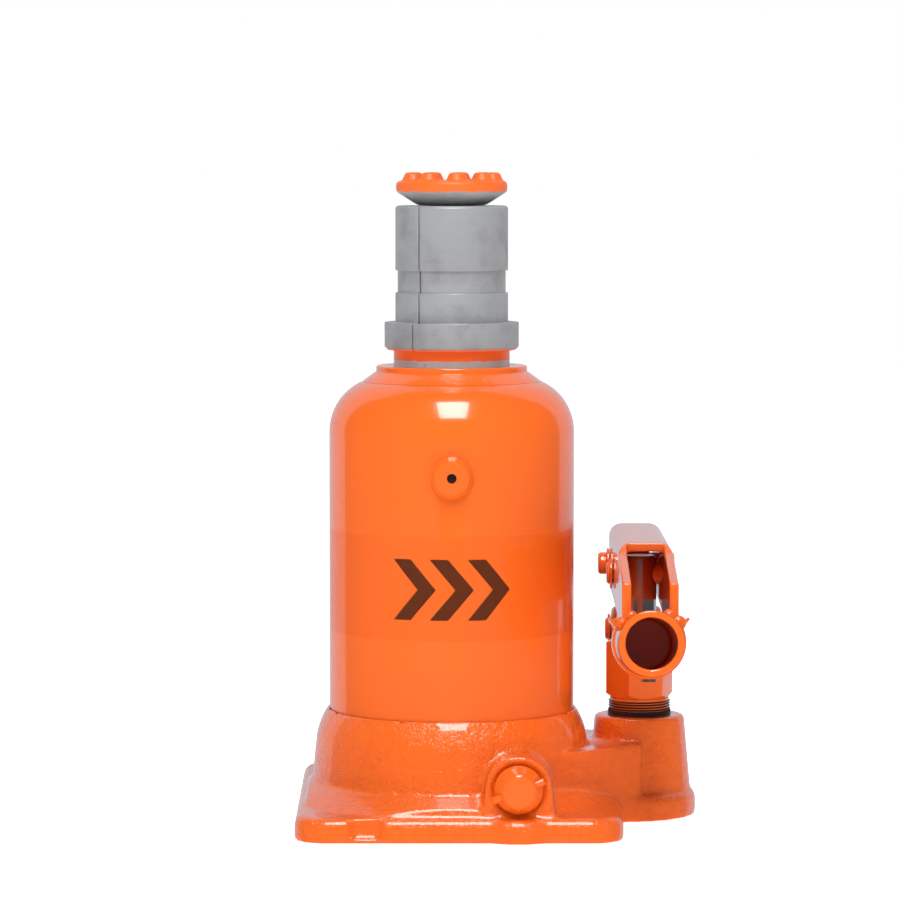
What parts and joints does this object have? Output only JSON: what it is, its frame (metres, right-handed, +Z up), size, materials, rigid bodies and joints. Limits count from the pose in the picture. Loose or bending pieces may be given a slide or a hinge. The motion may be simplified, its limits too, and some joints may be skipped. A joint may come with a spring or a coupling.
{
  "type": "bottle jack",
  "caption": "Two-stage hydraulic bottle jack with a lever pump, handle socket, release valve and screw-out studded saddle.",
  "frame": {"origin": "on the tank's axis, at the base's underside", "axes": "+Z up along the rams, -Y towards the release valve and the handle socket's mouth, +X towards the pump"},
  "size_m": [0.188, 0.1917, 0.3044],
  "materials": {
    "orange_paint": "gloss",
    "painted_casting": "gloss",
    "turned_steel": "brushed",
    "ground_steel": "polished",
    "zinc_hardware": "satin",
    "black_rubber": "matte",
    "copper_gasket": "satin",
    "bearing_nylon": "matte"
  },
  "bodies": {
    "frame": {"base_casting": "painted_casting", "tank_base_gasket": "black_rubber", "tank_shell": "orange_paint", "filler_plug": "orange_paint", "top_nut": "orange_paint", "top_nut_seal": "black_rubber", "ram_wiper": "black_rubber", "cylinder_gasket": "copper_gasket", "pressure_cylinder": "ground_steel", "pump_body": "orange_paint", "pump_washer": "black_rubber", "pump_seat_washer": "copper_gasket", "pump_gland_seal": "black_rubber", "link_base_pin": "orange_paint", "link_base_pin_clips": "orange_paint", "suction_ball": "zinc_hardware", "suction_plug": "zinc_hardware", "delivery_ball": "zinc_hardware", "delivery_spring": "zinc_hardware", "delivery_plug": "zinc_hardware", "overload_ball": "zinc_hardware", "overload_spring": "zinc_hardware", "overload_screw": "zinc_hardware"},
    "first_stage": {"first_ram": "ground_steel", "first_ram_seal": "black_rubber", "first_ram_bearing": "bearing_nylon", "head_collar": "turned_steel", "collar_wiper": "black_rubber"},
    "second_stage": {"second_ram": "ground_steel", "second_ram_seal": "black_rubber", "second_ram_bearing": "bearing_nylon", "second_ram_stop_ring": "zinc_hardware"},
    "screw_foot": {"screw_stop_ring": "zinc_hardware"},
    "screw": {"extension_screw": "ground_steel", "saddle": "orange_paint"},
    "plunger": {"pump_plunger": "ground_steel"},
    "lever": {"lever_channel": "orange_paint", "handle_socket": "orange_paint", "spring_clip": "orange_paint", "clip_rivet": "zinc_hardware", "plunger_pin": "orange_paint", "plunger_pin_clips": "orange_paint", "fulcrum_pin": "orange_paint", "fulcrum_pin_clips": "orange_paint"},
    "link": {"fulcrum_link": "orange_paint"},
    "valve_ball": {"release_ball": "zinc_hardware"},
    "release_valve": {"release_screw": "orange_paint", "release_cross_pin": "orange_paint", "release_oring": "black_rubber"}
  },
  "joints": [
    {"name": "first_ram_slide", "type": "slide", "parent": "frame", "child": "first_stage", "axis": [0, 0, 1], "range_m": [0, 0.15]},
    {"name": "second_ram_slide", "type": "slide", "parent": "first_stage", "child": "second_stage", "axis": [0, 0, 1], "range_m": [0, 0.15]},
    {"name": "screw_rise", "type": "slide", "parent": "second_stage", "child": "screw_foot", "axis": [0, 0, 1], "range_m": [0, 0.0701]},
    {"name": "screw_turn", "type": "hinge", "parent": "screw_foot", "child": "screw", "pos_m": [0, 0, 0.289], "axis": [0, 0, 1], "range_deg": [0, 6300]},
    {"name": "plunger_slide", "type": "slide", "parent": "frame", "child": "plunger", "axis": [0, 0, 1], "range_m": [0, 0.0225]},
    {"name": "lever_swing", "type": "hinge", "parent": "plunger", "child": "lever", "pos_m": [0.0892, 0.016, 0.1145], "axis": [-1, 0, 0], "range_deg": [0, 35]},
    {"name": "link_rock", "type": "hinge", "parent": "frame", "child": "link", "pos_m": [0.0892, 0.0519, 0.084], "axis": [1, 0, 0], "range_deg": [0, 9.5]},
    {"name": "release_back_off", "type": "slide", "parent": "frame", "child": "valve_ball", "axis": [0, -1, 0], "range_m": [0, 0.00226]},
    {"name": "release_turn", "type": "hinge", "parent": "valve_ball", "child": "release_valve", "pos_m": [0.0305, -0.076, 0.0242], "axis": [0, -1, 0], "range_deg": [0, 540]}
  ],
  "couplings": [
    {"joint": "screw_rise", "follows": "screw_turn", "m_per_rad": 0.00063662},
    {"joint": "plunger_slide", "follows": "lever_swing", "m_per_rad": 0.03665},
    {"joint": "link_rock", "follows": "lever_swing", "ratio": 0.27},
    {"joint": "release_back_off", "follows": "release_turn", "m_per_rad": 0.00023873}
  ]
}
